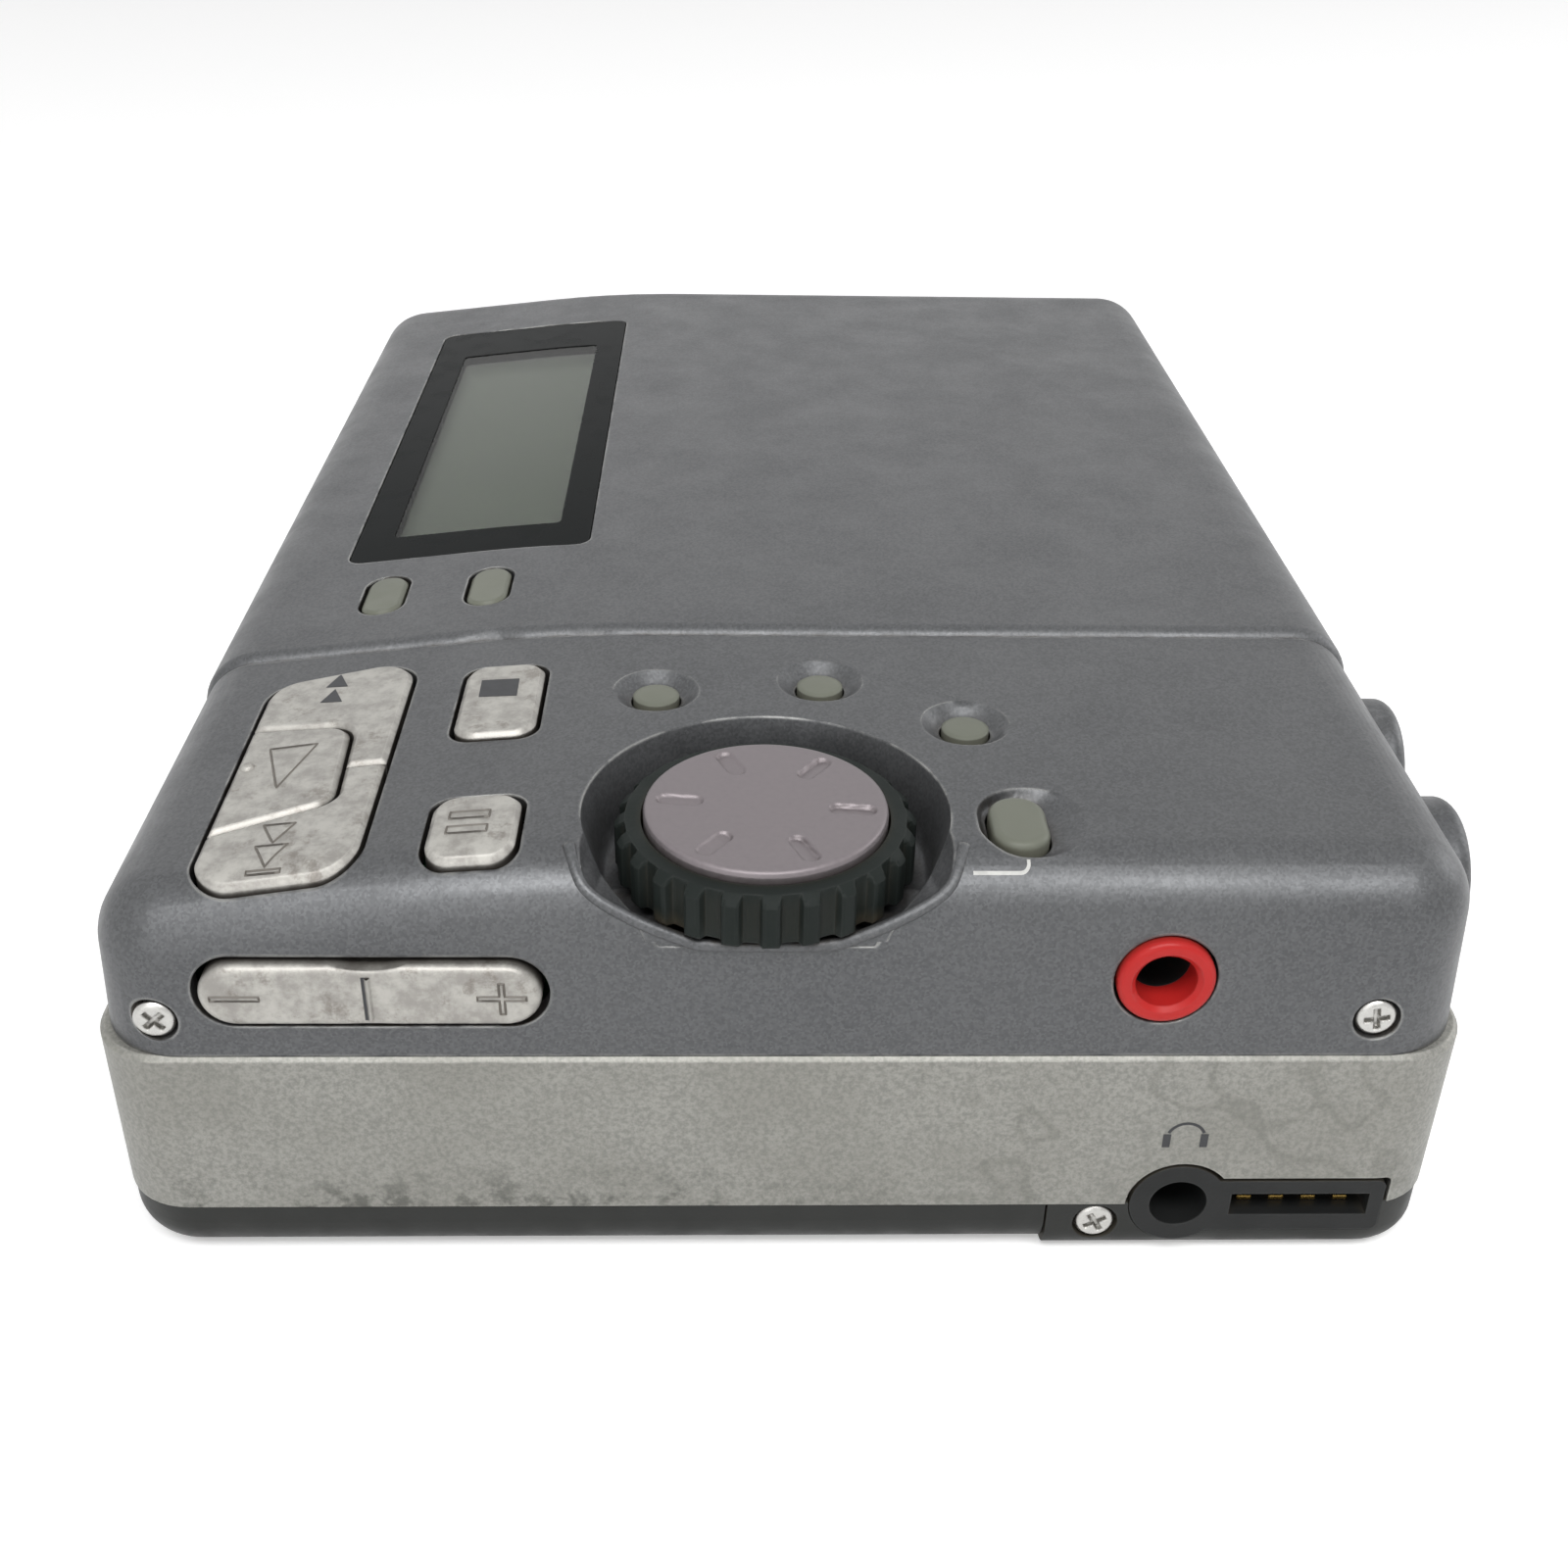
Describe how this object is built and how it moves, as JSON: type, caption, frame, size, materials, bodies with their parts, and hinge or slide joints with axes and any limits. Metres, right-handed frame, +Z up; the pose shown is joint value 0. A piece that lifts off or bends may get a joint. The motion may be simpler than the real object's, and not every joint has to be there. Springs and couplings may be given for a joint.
{
  "type": "portable minidisc player",
  "caption": "Pocket minidisc player with a rear hinged lid over the disc bay, sprung keys, a knurled jog dial, jacks, a battery door and a geared pickup drive.",
  "frame": {"origin": "on the base plane, at the middle of the case's plan outline", "axes": "+X to the right seen from the jack end, +Y from the jack end to the lid's hinge, +Z up out of the lid"},
  "size_m": [0.0842, 0.1161, 0.0289],
  "materials": {
    "case_grey": "metallic grey paint, satin, fine flake",
    "band_silver": "champagne silver paint, matt, fine grain",
    "base_charcoal": "moulded charcoal plastic",
    "key_silver": "silver paint over plastic, mottled by wear",
    "button_olive": "satin olive grey plastic",
    "dial_rubber": "dark moulded grip ring",
    "dial_cap": "satin anodised mauve grey",
    "steel": "bright steel",
    "contact_gold": "gold plated",
    "mic_red": "moulded red plastic",
    "black_plastic": "moulded black plastic",
    "switch_grey": "satin dark grey plastic",
    "board_green": "solder mask",
    "battery_wrap": "satin dark sleeve",
    "lcd_black": "glossy black print",
    "lcd_clear": "clear polished acrylic",
    "lcd_grey": "unlit reflective display",
    "pickup_alloy": "die cast",
    "lens_glass": "coated glass",
    "gear_white": "acetal",
    "gear_brass": "turned brass"
  },
  "bodies": {
    "case": {"front_shell": "case_grey", "middle_band": "band_silver", "bottom_cover": "base_charcoal", "door_hinge_rod": "steel", "battery": "battery_wrap", "battery_contacts": "contact_gold", "jog_encoder": "black_plastic", "rocker_pin": "steel", "mic_jack_collar": "mic_red", "mic_jack": "black_plastic", "remote_socket": "black_plastic", "remote_contacts": "contact_gold", "dc_jack": "black_plastic", "line_in_jack": "black_plastic", "line_out_jack": "black_plastic", "chassis_deck": "steel", "spindle_motor": "steel", "guide_rods": "steel", "sled_motor": "steel", "main_board": "board_green", "board_chips": "black_plastic", "control_board": "board_green", "tact_switches": "steel", "case_screws": "steel"},
    "lid": {"lid_shell": "case_grey", "hinge_pins": "steel", "lcd_bezel": "lcd_black", "lcd_window": "lcd_clear", "lcd_panel": "lcd_grey", "lid_board": "board_green", "disc_holder": "steel"},
    "battery_door": {"battery_door": "base_charcoal"},
    "dial": {"jog_ring": "dial_rubber", "jog_cap": "dial_cap", "jog_shaft": "steel"},
    "spindle": {"turntable": "steel"},
    "pickup": {"optical_pickup": "pickup_alloy", "objective_lens": "lens_glass"},
    "feed_screw": {"lead_screw": "steel", "lead_screw_gear": "gear_white"},
    "feed_pinion": {"motor_pinion": "gear_brass"},
    "volume_rocker": {"volume_rocker": "key_silver"},
    "open_slider": {"open_slider": "switch_grey"},
    "hold_slider": {"hold_slider": "switch_grey"},
    "rewind_key": {"rewind_key": "key_silver"},
    "play_key": {"play_key": "key_silver"},
    "fast_forward_key": {"fast_forward_key": "key_silver"},
    "stop_key": {"stop_key": "key_silver"},
    "pause_key": {"pause_key": "key_silver"},
    "record_button": {"record_button": "button_olive"},
    "end_search_button": {"end_search_button": "button_olive"},
    "track_mark_button": {"track_mark_button": "button_olive"},
    "title_button": {"title_button": "button_olive"},
    "mode_key": {"mode_key": "button_olive"},
    "display_key": {"display_key": "button_olive"}
  },
  "joints": [
    {"name": "lid_hinge", "type": "hinge", "parent": "case", "child": "lid", "pos_m": [0, 0.0559, 0.01765], "axis": [-1, 0, 0], "range_deg": [0, 35]},
    {"name": "battery_door_hinge", "type": "hinge", "parent": "case", "child": "battery_door", "pos_m": [0, -0.02775, 0.0015], "axis": [1, 0, 0], "range_deg": [0, 80]},
    {"name": "dial_turn", "type": "hinge", "parent": "case", "child": "dial", "pos_m": [-0.0013, -0.0495, 0.026], "axis": [0, 0, 1], "continuous": true},
    {"name": "spindle_turn", "type": "hinge", "parent": "case", "child": "spindle", "pos_m": [0, 0.0115, 0.016], "axis": [0, 0, 1], "continuous": true},
    {"name": "feed_screw_turn", "type": "hinge", "parent": "case", "child": "feed_screw", "pos_m": [0.005, 0.028, 0.0095], "axis": [1, 0, 0], "range_deg": [0, 2970.5]},
    {"name": "pickup_slide", "type": "slide", "parent": "case", "child": "pickup", "axis": [1, 0, 0], "range_m": [0, 0.0165]},
    {"name": "feed_pinion_turn", "type": "hinge", "parent": "case", "child": "feed_pinion", "pos_m": [0.005, 0.03325, 0.0095], "axis": [1, 0, 0], "range_deg": [-9505, 0]},
    {"name": "volume_rock", "type": "hinge", "parent": "case", "child": "volume_rocker", "pos_m": [-0.02395, -0.0546, 0.02075], "axis": [0, 0, 1], "range_deg": [-3, 3], "stiffness_Nm_per_rad": 0.15},
    {"name": "open_slide", "type": "slide", "parent": "case", "child": "open_slider", "axis": [0, 1, 0], "range_m": [0, 0.004], "stiffness_N_per_m": 120, "springref_m": -0.002},
    {"name": "hold_slide", "type": "slide", "parent": "case", "child": "hold_slider", "axis": [0, 1, 0], "range_m": [0, 0.003]},
    {"name": "rewind_key_press", "type": "slide", "parent": "case", "child": "rewind_key", "axis": [0, 0, -1], "range_m": [0, 0.0005], "stiffness_N_per_m": 1500, "springref_m": -0.0002},
    {"name": "play_key_press", "type": "slide", "parent": "case", "child": "play_key", "axis": [0, 0, -1], "range_m": [0, 0.0005], "stiffness_N_per_m": 1500, "springref_m": -0.0002},
    {"name": "fast_forward_key_press", "type": "slide", "parent": "case", "child": "fast_forward_key", "axis": [0, 0, -1], "range_m": [0, 0.0005], "stiffness_N_per_m": 1500, "springref_m": -0.0002},
    {"name": "stop_key_press", "type": "slide", "parent": "case", "child": "stop_key", "axis": [0, 0, -1], "range_m": [0, 0.0005], "stiffness_N_per_m": 1500, "springref_m": -0.0002},
    {"name": "pause_key_press", "type": "slide", "parent": "case", "child": "pause_key", "axis": [0, 0, -1], "range_m": [0, 0.0005], "stiffness_N_per_m": 1500, "springref_m": -0.0002},
    {"name": "record_button_press", "type": "slide", "parent": "case", "child": "record_button", "axis": [0, 0, -1], "range_m": [0, 0.0004], "stiffness_N_per_m": 1500, "springref_m": -0.0002},
    {"name": "end_search_button_press", "type": "slide", "parent": "case", "child": "end_search_button", "axis": [0, 0, -1], "range_m": [0, 0.0004], "stiffness_N_per_m": 1500, "springref_m": -0.0002},
    {"name": "track_mark_button_press", "type": "slide", "parent": "case", "child": "track_mark_button", "axis": [0, 0, -1], "range_m": [0, 0.0004], "stiffness_N_per_m": 1500, "springref_m": -0.0002},
    {"name": "title_button_press", "type": "slide", "parent": "case", "child": "title_button", "axis": [0, 0, -1], "range_m": [0, 0.0004], "stiffness_N_per_m": 1500, "springref_m": -0.0002},
    {"name": "mode_key_press", "type": "slide", "parent": "lid", "child": "mode_key", "axis": [0, 0, -1], "range_m": [0, 0.0004], "stiffness_N_per_m": 1500, "springref_m": -0.0002},
    {"name": "display_key_press", "type": "slide", "parent": "lid", "child": "display_key", "axis": [0, 0, -1], "range_m": [0, 0.0004], "stiffness_N_per_m": 1500, "springref_m": -0.0002}
  ],
  "couplings": [
    {"joint": "feed_screw_turn", "follows": "pickup_slide", "rad_per_m": 3141.6},
    {"joint": "feed_pinion_turn", "follows": "pickup_slide", "rad_per_m": -10053}
  ]
}
